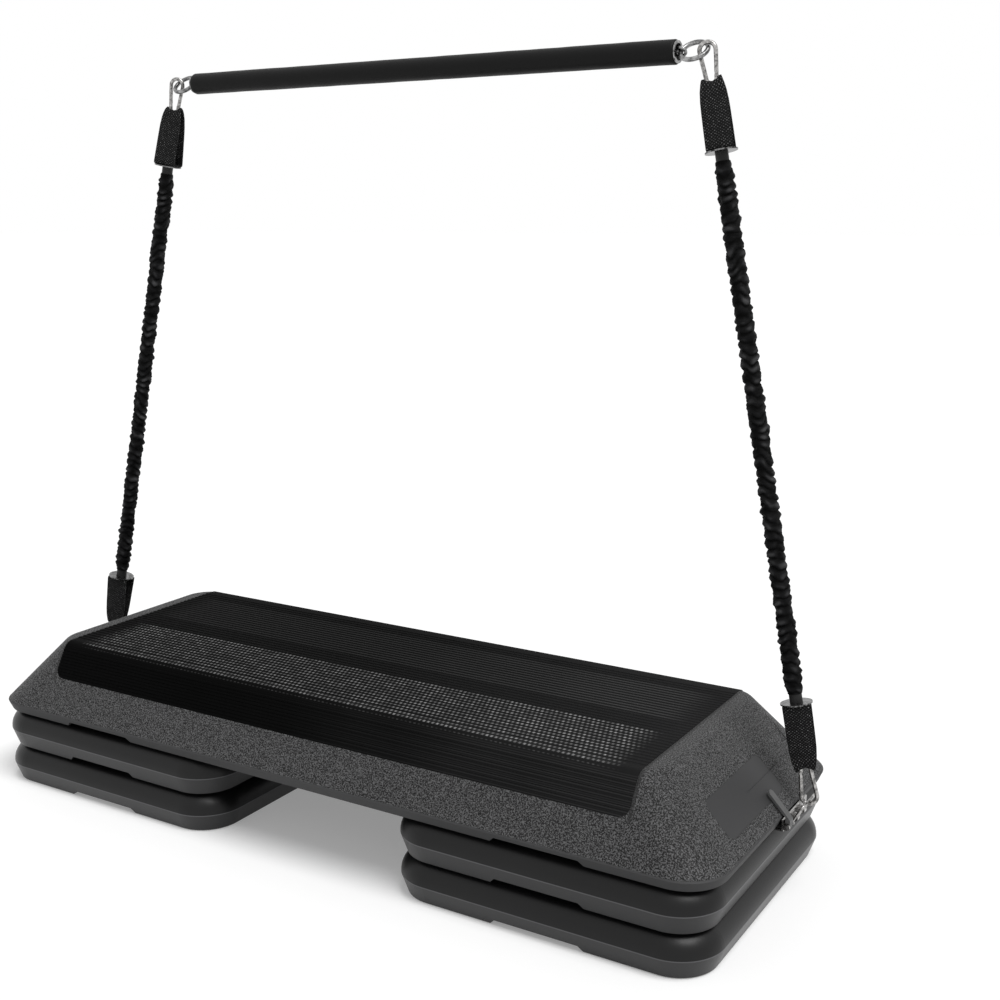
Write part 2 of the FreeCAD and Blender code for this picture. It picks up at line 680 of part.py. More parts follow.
def hook_shapes():
    """The loop, the gate and the rivet of one hook, in its own frame."""
    arch_centre, narrow_centre, high, low = hook_points()
    up = (high - low).normalize()
    wire = size("hook_wire")
    hinge = low + up * size("gate_hinge_up")
    wire_end = low + up * 1.8
    nose = high - up * size("nose_length")
    bottom = narrow_centre - Z_AXIS * size("hook_narrow")
    edges = [Part.makeLine(wire_end, low), Part.Arc(low, bottom, flipped(low)).toShape(),
             Part.makeLine(flipped(low), flipped(high)),
             Part.Arc(flipped(high), Vector(), high).toShape(), Part.makeLine(high, nose)]
    loop = round_wire(edges, wire)
    tang, side_gap = size("tang"), size("tang_side_gap")
    plate = Part.makeBox(2 * size("tang_round"), tang, size("gate_hinge_up"))
    plate.Placement = Placement(low - Y_AXIS * (tang / 2) - up.cross(Y_AXIS) * -size("tang_round"),
                                Rotation(up.cross(Y_AXIS) * -1, Y_AXIS, up))
    end = Part.makeCylinder(size("tang_round"), tang, hinge - Y_AXIS * (tang / 2), Y_AXIS)
    pin_hole = Part.makeCylinder(size("rivet_radius"), 12, hinge - Y_AXIS * 6, Y_AXIS)
    loop = loop.fuse([plate, end]).removeSplitter().cut(pin_hole)

    start = hinge - up * 1.6
    tip = nose - up * size("gate_end_gap")
    gate = Part.makeCylinder(size("gate_radius"), (tip - start).Length, start, up)
    slot = Part.makeBox(8, tang + 2 * side_gap, 8)
    slot.Placement = Placement(start - up * 3 - Y_AXIS * (tang / 2 + side_gap) + up.cross(Y_AXIS) * 4,
                               Rotation(up.cross(Y_AXIS) * -1, Y_AXIS, up))
    clear = Part.makeCylinder(size("rivet_radius + rivet_clearance"), 12, hinge - Y_AXIS * 6, Y_AXIS)
    gate = gate.cut([slot, clear])

    reach = size("gate_radius") + 0.1
    rivet = Part.makeCylinder(size("rivet_radius"), 2 * reach, hinge - Y_AXIS * reach, Y_AXIS)
    heads = [Part.makeCylinder(size("rivet_head"), 0.6, hinge + Y_AXIS * reach, Y_AXIS),
             Part.makeCylinder(size("rivet_head"), 0.6, hinge - Y_AXIS * (reach + 0.6), Y_AXIS)]
    return loop, gate, rivet.fuse(heads).removeSplitter(), hinge


# Webbing loops: a nylon strap folded round the hook's narrow end and closed across a
# steel eyelet, in which a stopper holds the end of the latex tube.
def webbing_shape(loop):
    top = -size("hook_length")
    inner, ply = size("hook_wire") + 0.1, size("webbing_ply")
    foot, deep = -size("webbing_end"), size("webbing_depth")

    def outline(radius, depth, low):
        left, right = Vector(0, -radius, top), Vector(0, radius, top)
        return Part.Wire([Part.Arc(left, Vector(0, 0, top + radius), right).toShape(),
                          Part.makeLine(right, Vector(0, depth, low)),
                          Part.makeLine(Vector(0, depth, low), Vector(0, -depth, low)),
                          Part.makeLine(Vector(0, -depth, low), left)])

    wide = size("webbing_width") / 2
    narrow = size("webbing_top_width") / 2
    strap = Part.Face(outline(inner + ply, deep, foot)).extrude(Vector(2 * wide, 0, 0))
    space = Part.Face(outline(inner, deep - ply, foot + ply)).extrude(Vector(2 * wide, 0, 0))
    strap = strap.cut(space)
    strap.translate(Vector(-wide, 0, 0))
    high = top + inner + ply + 1
    half = [(wide, foot - 1), (wide, top - 22), (narrow + 2.6, top - 8), (narrow, top - 1), (narrow - 3, high)]
    shape = half + [(-a, b) for a, b in reversed(half)] + half[:1]
    trim = Part.Face(Part.makePolygon([Vector(a, -30, b) for a, b in shape])).extrude(Vector(0, 60, 0))
    neck = Part.makeCylinder(size("tube_radius") + 0.1, 8, Vector(0, 0, foot - 3))
    return strap.common(trim).cut([neck, loop])


def sleeve_shape(length):
    """A gathered sleeve along -Z: crests and valleys of uneven height, with its bore."""
    count = int(size("sleeve_gathers"))
    valley, crest = size("sleeve_valley"), size("sleeve_crest")
    plain = 2 * crest
    pitch = (length - 2 * plain) / count
    rings = [(0, valley - 0.3), (plain * 0.4, valley + 0.2)]
    for i in range(count):
        swell = 0.45 * math.sin(2.4 * i) + 0.25 * math.sin(5.1 * i + 1)
        start = plain + i * pitch
        rings += [(start, valley + 0.2 * math.sin(3.3 * i)), (start + 0.3 * pitch, crest - 0.4 + swell),
                  (start + 0.55 * pitch, crest + swell), (start + 0.85 * pitch, valley + 0.4)]
    rings += [(length - plain * 0.4, valley + 0.2), (length, valley - 0.3)]
    wires = [Part.Wire(Part.Circle(Vector(0, 0, -depth), Z_AXIS, radius).toShape()) for depth, radius in rings]
    outside = Part.makeLoft(wires, True, True)
    bore = Part.makeCylinder(size("sleeve_bore"), length + 2, Vector(0, 0, -length - 1))
    return outside.cut(bore)


def band_frame(side):
    """The band's frame: origin at the upper hook's arch, z up the band, x across it."""
    ring_centre = axis_point + X_AXIS * (side * size("bar_half + eye_out + ring_radius"))
    link = ring_centre + X_AXIS * (side * size("ring_radius"))
    anchor = Vector(side * size("anchor_x"), size("anchor_y"), size("anchor_z"))
    up = (link - anchor).normalize()
    origin = link + up * size("link_drop")
    turn = math.radians(size("band_turn"))
    across = Vector(math.cos(turn), math.sin(turn), 0)
    across = (across - up * across.dot(up)).normalize()
    return Placement(origin, Rotation(across, up.cross(across), up)), (origin - anchor).Length


loop_shape, gate_shape, rivet_shape, hinge_point = hook_shapes()
webbing = webbing_shape(loop_shape)
hinges = {}
for side, name in ((-1, "left"), (1, "right")):
    frame, reach = band_frame(side)
    over = Placement(Vector(0, 0, -reach), Rotation(Y_AXIS, 180))
    for end, place in (("upper", frame), ("lower", frame.multiply(over))):
        node(f"{name}_{end}_hook", made(f"{name}_{end}_hook", loop_shape.copy(), place))
        node(f"{name}_{end}_gate", made(f"{name}_{end}_gate", gate_shape.copy(), place))
        node(f"{name}_{end}_rivet", made(f"{name}_{end}_rivet", rivet_shape.copy(), place))
        node(f"{name}_{end}_webbing", made(f"{name}_{end}_webbing", webbing.copy(), place))
        hinges[f"{name}_{end}_gate"] = (place.multVec(hinge_point), place.Rotation.multVec(Y_AXIS))
        disc = rod(f"{name}_{end}_disc", "washer_radius", "washer_thickness", 0, 0,
                   "-webbing_end - washer_thickness")
        eye = rod(f"{name}_{end}_disc_hole", "washer_bore", "washer_thickness", 0, 0,
                  "-webbing_end - washer_thickness")
        washer = cut(f"{name}_{end}_washer", disc, eye)
        washer.Placement = place
        node(f"{name}_{end}_washer", washer)
        cone = bind(doc.addObject("Part::Cone", f"{name}_{end}_cone"), Radius1="stopper_radius",
                    Radius2="stopper_top", Height="stopper_length")
        put(cone, 0, 0, "-webbing_end + webbing_ply")
        bore = rod(f"{name}_{end}_cone_hole", "tube_radius + stopper_clearance", "stopper_length", 0, 0,
                   "-webbing_end + webbing_ply")
        stopper = cut(f"{name}_{end}_stopper", cone, bore)
        stopper.Placement = place
        node(f"{name}_{end}_stopper", stopper)
    tube_top = size("webbing_end - webbing_ply - stopper_length + 1")
    tube_length = reach - 2 * tube_top
    latex = rod(f"{name}_latex", "tube_radius", tube_length, 0, 0, -tube_top - tube_length)
    latex_hole = rod(f"{name}_latex_hole", "tube_bore", tube_length, 0, 0, -tube_top - tube_length)
    latex_tube = cut(f"{name}_tube", latex, latex_hole)
    latex_tube.Placement = frame
    node(f"{name}_tube", latex_tube)
    sleeve_top = size("webbing_end + washer_thickness + sleeve_gap")
    sleeve = sleeve_shape(reach - 2 * sleeve_top)
    node(f"{name}_sleeve", made(f"{name}_sleeve", sleeve,
                                frame.multiply(Placement(Vector(0, 0, -sleeve_top), Rotation()))))

# Clamps: a bent steel hook grips the deck's rim over a rubber pad. The hook's rolled
# knuckles hold a wire bail and the pin of a grey thumb tab. The left set is the mirror.
end_x = size("deck_length / 2")
rim_z = size("2 * layer + deck_rim_gap")
sheet_t = size("clamp_sheet")
leg_in = end_x + size("clamp_gap")
leg_out = leg_in + sheet_t
floor_top = rim_z - size("clamp_pad_height")
floor_low = floor_top - sheet_t
lip_in = end_x - size("deck_rim_inset") - size("clamp_lip")
leg_top = size("clamp_leg_top")
lip_top = floor_top + size("clamp_lip")
hook_line = [(leg_out, leg_top), (leg_out, floor_low), (lip_in - sheet_t, floor_low), (lip_in - sheet_t, lip_top),
             (lip_in, lip_top), (lip_in, floor_top), (leg_in, floor_top), (leg_in, leg_top)]
plate_hook = prism("clamp_hook", hook_line, "clamp_width", size("clamp_front"))
knuckle_x = leg_out + size("knuckle_radius")
bail_low = size("anchor_y - bail_half")
knuckle_spans = [(size("clamp_front"), 3), (size("clamp_front") + 14, 3), (bail_low + 8, 8),
                 (bail_low + 32, 8)]
ALONG_Y = Rotation(X_AXIS, -90)
steel = [plate_hook]
for i, (y, width) in enumerate(knuckle_spans):
    steel.append(rod(f"knuckle{i}", "knuckle_radius", width, knuckle_x, y, "knuckle_height", ALONG_Y))
    steel.append(box(f"knuckle_web{i}", "knuckle_radius + 0.5", width, "2 * knuckle_radius", leg_out - 0.5, y,
                     "knuckle_height - knuckle_radius"))
bores = [rod("pin_bore", "pin_radius", 19, knuckle_x, size("clamp_front") - 1, "knuckle_height", ALONG_Y),
         rod("bail_bore", "bail_wire + bail_clearance", 60, knuckle_x, bail_low + 4, "knuckle_height", ALONG_Y)]
node("right_clamp_bracket", cut("right_clamp_bracket", join("clamp_steel", steel), join("clamp_bores", bores)))
pad = box("right_clamp_pad", "deck_rim_inset + clamp_gap + 6", "clamp_width - 4", "clamp_pad_height",
          lip_in + 0.4, "clamp_front + 2", floor_top)
pad.setExpression("Length", bound(f"{leg_in - lip_in - 0.8}"))
node("right_clamp_pad", pad)
node("right_clamp_pin", rod("right_clamp_pin", "pin_radius", "pin_length", knuckle_x, size("clamp_front"),
                            "knuckle_height", ALONG_Y))

frame_right, reach_right = band_frame(1)
bail_top = frame_right.multVec(Vector(0, 0, -reach_right + size("bail_link")))
bail_foot = Vector(knuckle_x, 0, size("knuckle_height"))
rise = Vector(bail_top.x, 0, bail_top.z) - bail_foot
bail_height = rise.Length
rise.normalize()


def bail_shape():
    """A closed rectangle of wire with round corners, leaning out from the knuckles."""
    half, corner = size("bail_half"), size("bail_corner")
    middle = size("anchor_y")

    def at(across, up):
        return bail_foot + Y_AXIS * (middle + across) + rise * up

    bend = corner * (1 - math.sqrt(0.5))
    low, high = 0, bail_height
    edges = [Part.makeLine(at(0, low), at(half - corner, low)),
             Part.Arc(at(half - corner, low), at(half - bend, low + bend), at(half, low + corner)).toShape(),
             Part.makeLine(at(half, low + corner), at(half, high - corner)),
             Part.Arc(at(half, high - corner), at(half - bend, high - bend), at(half - corner, high)).toShape(),
             Part.makeLine(at(half - corner, high), at(corner - half, high)),
             Part.Arc(at(corner - half, high), at(bend - half, high - bend), at(-half, high - corner)).toShape(),
             Part.makeLine(at(-half, high - corner), at(-half, low + corner)),
             Part.Arc(at(-half, low + corner), at(bend - half, low + bend), at(corner - half, low)).toShape(),
             Part.makeLine(at(corner - half, low), at(0, low))]
    return round_wire(edges, size("bail_wire"))


node("right_clamp_bail", made("right_clamp_bail", bail_shape()))


def tab_shape():
    """The thumb tab: a barrel on the pin and an arm that lies over the deck's slope."""
    width = size("tab_width")
    front = size("clamp_front") + 3.3
    near = end_low + end_out * size("tab_clearance")
    far = near + end_out * size("tab_thickness")
    along = end_up * size("tab_length")
    radius, height = size("barrel_radius"), size("knuckle_height")
    points = [Vector(knuckle_x + radius, 0, height), Vector(knuckle_x + radius - 0.6, 0, leg_top - 1), far,
              far + along, near + along, near + end_up * 3, Vector(leg_out + 0.8, 0, leg_top + 2),
              Vector(leg_out + 0.8, 0, height), Vector(knuckle_x + radius, 0, height)]
    arm = Part.Face(Part.makePolygon(points)).extrude(Vector(0, width, 0))
    tip = [edge for edge in arm.Edges
           if all((p.Point - near - along).Length < width + 5 for p in edge.Vertexes)
           and abs(edge.tangentAt(edge.FirstParameter).dot(end_out)) > 0.9]
    arm = arm.makeFillet(width / 2 - 0.4, tip)
    barrel = Part.makeCylinder(radius, width, Vector(knuckle_x, 0, height), Y_AXIS)
    bore = Part.makeCylinder(size("pin_radius + bail_clearance"), width, Vector(knuckle_x, 0, height), Y_AXIS)
    tab = arm.fuse(barrel).removeSplitter().cut(bore)
    tab.translate(Y_AXIS * front)
    return tab


node("right_clamp_tab", made("right_clamp_tab", tab_shape()))
for piece in ("bracket", "pad", "pin", "bail", "tab"):
    mirror = doc.addObject("Part::Mirroring", "left_clamp_" + piece)
    mirror.Source = doc.getObject("right_clamp_" + piece)
    mirror.Normal = X_AXIS
    node("left_clamp_" + piece, mirror)

doc.recompute()
for item in doc.Objects:
    if "Invalid" in item.State or "Error" in item.State:
        raise RuntimeError(f"{item.Name} failed: {item.State}")
for item in nodes:
    if item.Shape.isNull() or not item.Shape.isValid():
        raise RuntimeError(f"{item.Label} has no valid shape")
for item in nodes:
    item.Shape.exportStep(f"parts/{item.Label}.step")
print(len(nodes), "nodes written")
for label, (point, axis) in hinges.items():
    print(label, "turns at", [round(v, 2) for v in point], "about", [round(v, 5) for v in axis])
print("tab and bail axis at x", knuckle_x, "z", size("knuckle_height"))
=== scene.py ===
import math

import bmesh
import bpy
from mathutils import Matrix, Vector, noise


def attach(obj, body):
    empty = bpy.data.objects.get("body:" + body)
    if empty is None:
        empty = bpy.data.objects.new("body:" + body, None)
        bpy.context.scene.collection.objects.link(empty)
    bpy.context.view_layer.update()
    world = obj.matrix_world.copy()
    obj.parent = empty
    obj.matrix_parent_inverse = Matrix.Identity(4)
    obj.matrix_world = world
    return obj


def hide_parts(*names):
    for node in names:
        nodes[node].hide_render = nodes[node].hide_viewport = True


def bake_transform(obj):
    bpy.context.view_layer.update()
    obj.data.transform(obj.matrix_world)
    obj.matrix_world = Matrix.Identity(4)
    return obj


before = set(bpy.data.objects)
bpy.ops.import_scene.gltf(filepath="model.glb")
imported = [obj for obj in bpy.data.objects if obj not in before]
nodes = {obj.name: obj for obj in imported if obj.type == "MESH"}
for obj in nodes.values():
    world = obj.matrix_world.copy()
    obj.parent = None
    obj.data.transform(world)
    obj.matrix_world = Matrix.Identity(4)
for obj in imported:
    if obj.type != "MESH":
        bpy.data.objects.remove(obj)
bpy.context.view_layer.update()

# Camera: the photograph looks along the platform from its right front corner, a
# little down, with the bar's right end nearest.
viewpoint = bpy.data.cameras.new("camera")
viewpoint.lens = 48.62
viewpoint.sensor_width = 36
viewpoint.shift_y = 0.0047
viewpoint.clip_start = 0.05
viewpoint.clip_end = 60
camera = bpy.data.objects.new("camera", viewpoint)
camera.location = (1.0098, -1.3777, 0.7884)
camera.rotation_euler = [math.radians(angle) for angle in (77.712, 0.164, 31.148)]
bpy.context.scene.collection.objects.link(camera)
bpy.context.scene.camera = camera
bpy.context.scene.view_settings.view_transform = "Standard"


# Risers: four hollow moulded blocks of black polyethylene in two stacks. The skin has
# a fine spark-eroded grain, and is greyer below the parting line round the widest place.
class Signal:
    """One socket of a finish, so that shader sums are written as Python sums."""

    def __init__(self, finish, socket):
        self.finish = finish
        self.socket = socket

    def sum(self, operation, first, second=None, clamp=False):
        values = {0: first} if second is None else {0: first, 1: second}
        settings = {"operation": operation, "use_clamp": clamp}
        return self.finish.add("ShaderNodeMath", settings, values)

    def __add__(self, other):
        return self.sum("ADD", self, other)

    __radd__ = __add__

    def __sub__(self, other):
        return self.sum("SUBTRACT", self, other)

    def __rsub__(self, other):
        return self.sum("SUBTRACT", other, self)

    def __mul__(self, other):
        return self.sum("MULTIPLY", self, other)

    __rmul__ = __mul__

    def __truediv__(self, other):
        return self.sum("DIVIDE", self, other)

    def __abs__(self):
        return self.sum("ABSOLUTE", self)

    def __gt__(self, other):
        return self.sum("GREATER_THAN", self, other)

    def most(self, other):
        return self.sum("MAXIMUM", self, other)

    def wave(self):
        return self.sum("SINE", self)

    def power(self, other):
        return self.sum("POWER", self, other)

    def held(self):
        """Kept from 0 to 1."""
        return self.sum("ADD", self, 0, clamp=True)

    def repeat(self, pitch):
        """Runs from 0 to 1 over each pitch."""
        return self.finish.add("ShaderNodeMath", {"operation": "FRACT"}, {0: self / pitch})

    def step(self, low, high):
        """Runs smoothly from 0 at low to 1 at high."""
        return self.finish.add("ShaderNodeMapRange", {"interpolation_type": "SMOOTHSTEP"},
                               {"Value": self, "From Min": low, "From Max": high})


class Finish:
    """A material under construction: a Principled surface and the nodes that feed it."""

    def __init__(self, name, roughness=0.5, metallic=0.0, **fixed):
        self.material = bpy.data.materials.new(name)
        self.material.use_nodes = True
        self.tree = self.material.node_tree
        self.surface = self.tree.nodes["Principled BSDF"]
        self.feed(Roughness=roughness, Metallic=metallic, **fixed)

    def add(self, kind, settings=None, values=None, out=0):
        """Make a node with its settings and inputs, and give one of its outputs."""
        node = self.tree.nodes.new(kind)
        for name, value in (settings or {}).items():
            setattr(node, name, value)
        for name, value in (values or {}).items():
            if isinstance(value, Signal):
                self.tree.links.new(value.socket, node.inputs[name])
            else:
                node.inputs[name].default_value = value
        return Signal(self, node.outputs[out])

    def feed(self, **values):
        for name, value in values.items():
            socket = self.surface.inputs[name.replace("_", " ")]
            if isinstance(value, Signal):
                self.tree.links.new(value.socket, socket)
            else:
                is_colour = isinstance(value, tuple) and len(value) == 3
                socket.default_value = (*value, 1) if is_colour else value

    def place(self):
        """The piece's own coordinates in metres."""
        return self.add("ShaderNodeTexCoord", out="Object")

    def cloth_place(self):
        """The piece's UV map, which is in metres of cloth."""
        return self.add("ShaderNodeTexCoord", out="UV")

    def axes(self, vector):
        """The x, y and z of a place."""
        parts = self.add("ShaderNodeSeparateXYZ", values={0: vector}).socket.node.outputs
        return [Signal(self, part) for part in parts]

    def speckle(self, vector, scale, detail=2.0, rough=0.5):
        """Noise from 0 to 1, with scale specks to the metre."""
        values = {"Vector": vector, "Scale": scale, "Detail": detail, "Roughness": rough}
        return self.add("ShaderNodeTexNoise", values=values)

    def tint(self, share, low, high):
        """A colour between two, by a share. A single number is a grey."""
        low, high = [(end,) * 3 if isinstance(end, float) else end for end in (low, high)]
        low, high = [(*end, 1) if isinstance(end, tuple) else end for end in (low, high)]
        return self.add("ShaderNodeMix", {"data_type": "RGBA", "clamp_factor": True},
                        {"Factor": share, 6: low, 7: high}, out=2)

    def relief(self, height, depth, strength=1.0):
        """Bump from a height from 0 to 1, where 1 stands depth metres proud."""
        values = {"Height": height, "Distance": depth, "Strength": strength}
        self.feed(Normal=self.add("ShaderNodeBump", values=values))


def give(finish, *names):
    """Put a finish on CAD pieces, by their names."""
    for name in names:
        mesh = nodes[name].data
        mesh.materials.clear()
        mesh.materials.append(finish.material)


riser_black = Finish("riser_black", Specular_IOR_Level=0.26)
where = riser_black.place()
z = riser_black.axes(where)[2]
riser_pitch, parting_height = 0.0508, 0.0244
layer = z.repeat(riser_pitch) * riser_pitch
# A thin light line along the parting line is a painted highlight.
parting_highlight = 1 - abs(layer - parting_height).step(0.0003, 0.0010)
grain = riser_black.speckle(where, 1400, 3, 0.6)
cloud = riser_black.speckle(where, 9, 3, 0.5)
below = 1 - layer.step(0.0236, parting_height)
skin = riser_black.tint(cloud, (0.0030, 0.0030, 0.0032), (0.0065, 0.0065, 0.0067))
skin = riser_black.tint(below, skin, (0.034, 0.034, 0.035))
riser_black.feed(Base_Color=riser_black.tint(parting_highlight * 0.8, skin, (0.12, 0.12, 0.125)),
                 Roughness=0.30 + 0.08 * cloud + 0.06 * grain)
riser_black.relief(grain, 0.0001, 0.5)
stacks = ("lower_left", "lower_right", "upper_left", "upper_right")
give(riser_black, *(name + "_riser" for name in stacks))

# Rubber feet: discs pushed into the mouldings. They stand on the floor or in the
# round sockets of the piece below, and are dusty. The clamps' pads are the same rubber.
foot_rubber = Finish("foot_rubber", roughness=0.75, Specular_IOR_Level=0.15)
where = foot_rubber.place()
dust = foot_rubber.speckle(where, 260, 4, 0.7)
skin = foot_rubber.tint(dust.step(0.45, 0.8), 0.014, (0.035, 0.034, 0.033))
foot_rubber.feed(Base_Color=skin)
foot_rubber.relief(dust, 0.0002)
give(foot_rubber, "lower_riser_feet", "upper_left_feet", "upper_right_feet", "deck_feet",
     "left_clamp_pad", "right_clamp_pad")

# Deck: one long moulding of dark grey polyethylene. Its outside has a coarse pebbled
# grain that fades out on the skirt, round the mat and on the bare plate at the right end.
# The grain's creases are painted dark as painted shade and its tops painted light as a
# painted highlight, and a narrow band along the mat's edges is darker.
deck_grey = Finish("deck_grey", Specular_IOR_Level=0.2)
where = deck_grey.place()
x, y, z = deck_grey.axes(where)
coarse_grain = deck_grey.speckle(where, 640, 1.0, 0.5)
close_grain = deck_grey.speckle(where, 1200, 1.0, 0.5)
pebble_and_shade = (coarse_grain * 0.65 + close_grain * 0.35).step(0.42, 0.60)
seat_low, seat_high = Vector((0.546, 0, 0.114)), Vector((0.462, 0, 0.2032))
seat_up = (seat_high - seat_low).normalized()
plate_middle = seat_low + seat_up * 0.046
plate_half_u, plate_half_v, plate_corner = 0.070, 0.015, 0.010
plate_u = y + 0.030
plate_v = (x - plate_middle.x) * seat_up.x + (z - plate_middle.z) * seat_up.z
across = (abs(plate_u) - plate_half_u).most(0)
along = (abs(plate_v) - plate_half_v).most(0)
edge = (across * across + along * along).power(0.5) - plate_corner
right_end = x > 0.4
on_plate = (1 - edge.step(-0.0004, 0.0006)) * right_end
# The rim round the recessed plate is painted darker: painted shade.
plate_rim_shade = (1 - abs(edge - 0.0004).step(0.0, 0.0016)) * right_end
skirt = 1 - z.step(0.1150, 0.1165)
mat_edge, mat_flap_foot = 0.4405, 0.155
beside_mat = (1 - abs(abs(x) - mat_edge).step(0.0012, 0.0035)) * (z > mat_flap_foot)
coarse = (1 - skirt.most(on_plate)).held()
cloud = deck_grey.speckle(where, 14, 3, 0.55)
fine = deck_grey.speckle(where, 1800, 2, 0.6)
plain = deck_grey.tint(cloud, (0.046, 0.046, 0.047), (0.056, 0.056, 0.057))
# The pebbles' creases are painted dark as painted shade and their tops painted light as a painted
# highlight.
pebble_painted_shade = deck_grey.tint(pebble_and_shade, 0.006, (0.118, 0.118, 0.120))
skin = deck_grey.tint(coarse, plain, pebble_painted_shade)
skin = deck_grey.tint(on_plate, skin, (0.036, 0.036, 0.037))
skin = deck_grey.tint(plate_rim_shade * 0.5, skin, 0.02)
skin = deck_grey.tint(beside_mat * 0.7, skin, 0.02)
deck_grey.feed(Base_Color=skin, Roughness=0.62 - 0.1 * pebble_and_shade * coarse - 0.12 * on_plate)
deck_grey.relief(pebble_and_shade * coarse + 0.06 * fine, 0.0006, 0.9)
give(deck_grey, "deck_shell")

# Mat: a sheet of black rubber wrapped over both long shoulders. Ribs run along two lanes
# where the feet stand. The front lane's are nicked into short dashes, the back lane's are
# plain, and finer ribs run along the shoulders. The nicks and rib tops are painted light as
# painted highlights, and the mat is painted lighter toward the right end as a painted reflection.
mat_black = Finish("mat_black", Specular_IOR_Level=0.02)
where = mat_black.place()
x, y, z = mat_black.axes(where)
cloud = mat_black.speckle(where, 7, 3, 0.5)
fine = mat_black.speckle(where, 1500, 2, 0.5)
sparkle = mat_black.speckle(where, 95, 2, 0.6).step(0.40, 0.66)
# The mat is painted lighter toward the right end, with some random unevenness: a painted
# reflection.
painted_sheen = (x.step(-0.30, 0.52) * 0.85 + 0.4 * cloud - 0.2).held()
painted_sheen = painted_sheen * painted_sheen
mat_top, rib_pitch, nick_pitch, flap_pitch = 0.2, 0.008, 0.0062, 0.0021
on_top = z > mat_top
front_lane = (1 - abs(y + 0.093).step(0.052, 0.060)) * (1 - abs(x).step(0.385, 0.420)) * on_top
back_lane = (1 - abs(y - 0.055).step(0.046, 0.056)) * (1 - abs(x).step(0.385, 0.435)) * on_top
rib_y = y + rib_pitch / 2
rib = 1 - abs(rib_y.repeat(rib_pitch) - 0.5).step(0.14, 0.30)
stagger = rib_y.repeat(2 * rib_pitch) > 0.5
nick_x = x + nick_pitch / 2 * stagger
nick = 1 - abs(nick_x.repeat(nick_pitch) - 0.5).step(0.10, 0.36)
on_flap = 1 - z.step(0.197, 0.201)
flap_ribs_and_highlights = (1 - abs(z.repeat(flap_pitch) - 0.5).step(0.1, 0.35)) * on_flap
# The nicks, the lane ribs and the shoulder ribs are painted lighter as painted highlights, scaled
# by the painted sheen.
nicks_and_glints = front_lane * rib * nick * (0.35 + 0.65 * sparkle)
rib_lines_and_highlights = (front_lane * 0.5 + back_lane) * rib * (0.25 + 0.75 * painted_sheen)
skin = mat_black.tint(painted_sheen, 0.0016, (0.020, 0.020, 0.0203))
skin = mat_black.tint(rib_lines_and_highlights * 0.3, skin, 0.16)
skin = mat_black.tint(flap_ribs_and_highlights * painted_sheen * 0.5, skin, 0.06)
skin = mat_black.tint(nicks_and_glints * (0.55 + 0.45 * painted_sheen), skin, 0.36)
mat_black.feed(Base_Color=skin, Roughness=0.60 - 0.15 * nicks_and_glints + 0.08 * cloud)
mat_black.relief(nicks_and_glints.most(rib_lines_and_highlights).most(flap_ribs_and_highlights * 0.5) + 0.05 * fine, 0.0005, 0.7)
give(mat_black, "top_mat")

# Clamps: bent and nickel-plated spring steel. A hook grips the deck's rim over a pad,
# and its rolled knuckles hold a wire bail and the pin of a grey thumb tab.
nickel = Finish("nickel", metallic=1.0)
where = nickel.place()
smear_and_painted_reflection = nickel.speckle(where, 220, 3, 0.6)
draw = nickel.speckle(where, 2600, 2, 0.5)
# The dark and bright patches in the base colour are painted reflections.
skin = nickel.tint(smear_and_painted_reflection.step(0.3, 0.7), (0.10, 0.098, 0.095), (0.50, 0.49, 0.48))
nickel.feed(Base_Color=skin, Roughness=0.16 + 0.14 * smear_and_painted_reflection)
nickel.relief(draw, 0.00004, 0.4)
for side in ("left", "right"):
    give(nickel, *(f"{side}_clamp_{part}" for part in ("bracket", "pin", "bail")))

tab_grey = Finish("tab_grey", Specular_IOR_Level=0.25)
where = tab_grey.place()
grain = tab_grey.speckle(where, 1300, 2, 0.5)
rubbed = tab_grey.speckle(where, 90, 3, 0.6)
tab_grey.feed(Base_Color=tab_grey.tint(rubbed, (0.075, 0.075, 0.076), 0.12),
              Roughness=0.42 + 0.1 * rubbed)
tab_grey.relief(grain, 0.0001, 0.5)
give(tab_grey, "left_clamp_tab", "right_clamp_tab")

# Bar: a steel tube in a foam grip. A plug, ferrule, eye bolt and nut close each end, and
# a loose steel ring runs through each eye. The bands' stoppers are moulded like the
# plugs, and their washers are pressed from darker steel.
bar_steel = Finish("bar_steel", metallic=1.0)
where = bar_steel.place()
stretched = bar_steel.add("ShaderNodeVectorMath", {"operation": "MULTIPLY"},
                          {0: where, 1: (4, 900, 900)})
drawn = bar_steel.speckle(stretched, 1.0, 3.0)
bar_steel.feed(Base_Color=bar_steel.tint(drawn, 0.22, (0.4, 0.4, 0.39)),
               Roughness=0.3 + 0.15 * drawn)
bar_steel.relief(drawn, 0.00005, 0.4)
give(bar_steel, "bar_tube")

plug_black = Finish("plug_black", Specular_IOR_Level=0.15)
where = plug_black.place()
grain = plug_black.speckle(where, 900, 3, 0.6)
plug_black.feed(Base_Color=plug_black.tint(grain, 0.004, 0.014),
                Roughness=0.4 + 0.2 * grain)
plug_black.relief(grain, 0.00012, 0.6)
strap_ends = ("left_upper", "left_lower", "right_upper", "right_lower")
give(plug_black, "bar_plugs", *(end + "_stopper" for end in strap_ends))

ring_steel = Finish("ring_steel", metallic=1.0)
where = ring_steel.place()
smear_and_painted_reflection = ring_steel.speckle(where, 160, 4, 0.6)
# The dark and bright patches in the base colour are painted reflections.
ring_steel.feed(Base_Color=ring_steel.tint(smear_and_painted_reflection.step(0.3, 0.7), 0.07, 0.40),
                Roughness=0.2 + 0.16 * smear_and_painted_reflection)
ring_steel.relief(smear_and_painted_reflection, 0.0001, 0.35)
give(ring_steel, "bar_ferrules", "eye_bolts", "eye_nuts", "left_ring", "right_ring")

